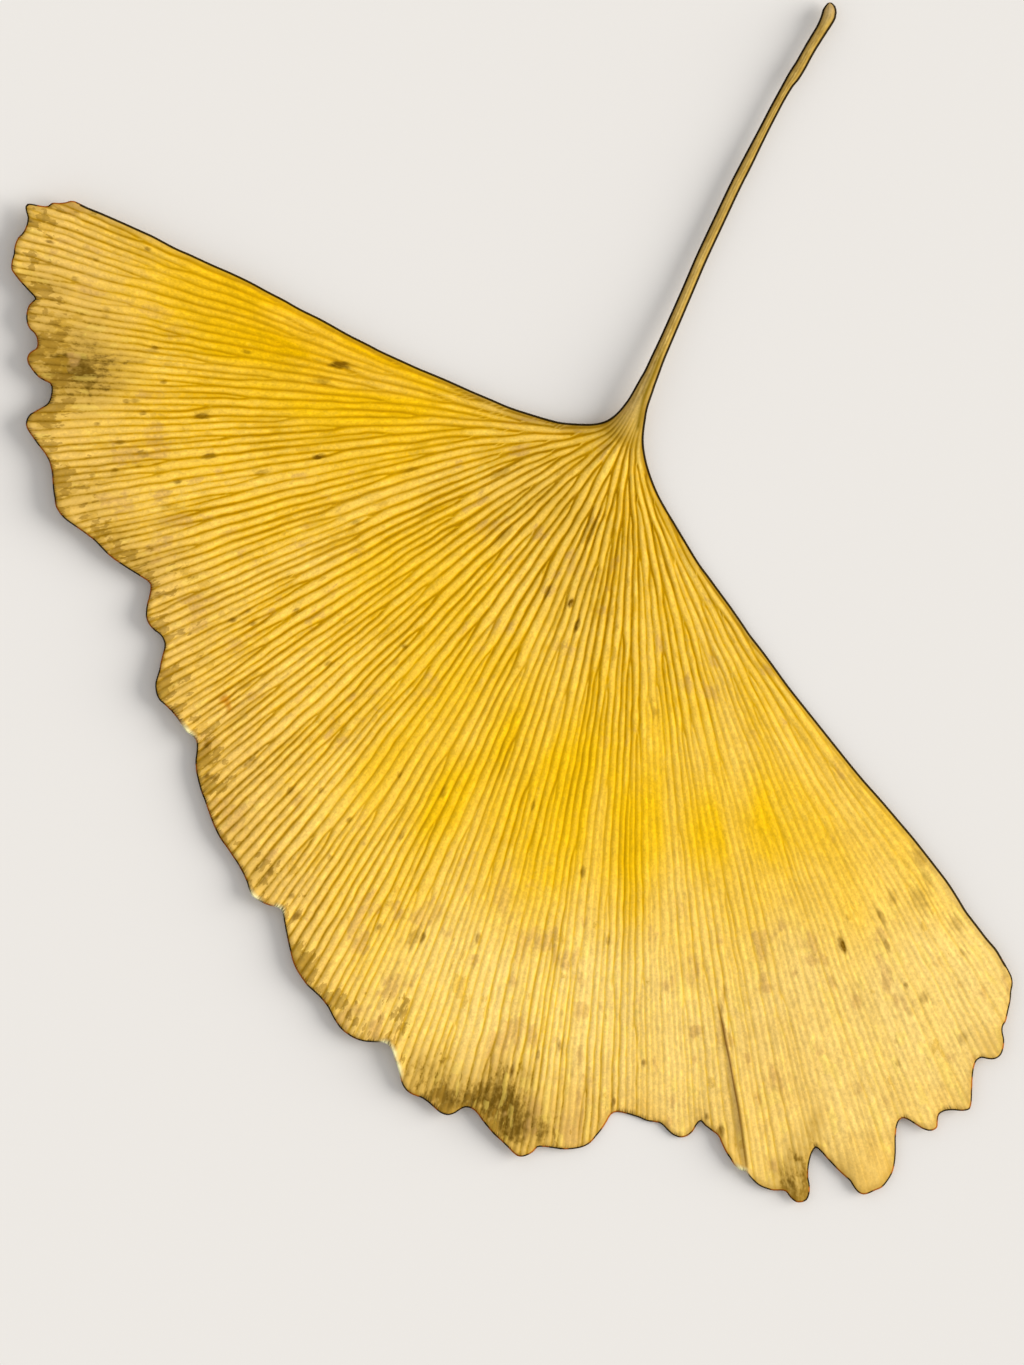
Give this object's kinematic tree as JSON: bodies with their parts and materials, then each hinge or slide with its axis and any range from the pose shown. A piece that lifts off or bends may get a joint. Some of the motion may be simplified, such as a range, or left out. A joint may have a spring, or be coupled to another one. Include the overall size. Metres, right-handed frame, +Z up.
{
  "type": "ginkgo leaf",
  "caption": "Yellow autumn ginkgo leaf with its stalk: a fan-shaped, gently cupped blade with fine forking veins, straight sides and a wavy, notched margin.",
  "frame": {"origin": "on the resting surface, below the centre of the leaf's bounding box", "axes": "+Z up from the resting surface, +X across the blade from one corner of the fan to the other, +Y from the blade towards the free end of the stalk"},
  "size_m": [0.0974, 0.084, 0.0022],
  "materials": {
    "leaf_yellow": "dry, satin, veined"
  },
  "bodies": {
    "root": {"ginkgo_leaf": "leaf_yellow"}
  },
  "joints": []
}
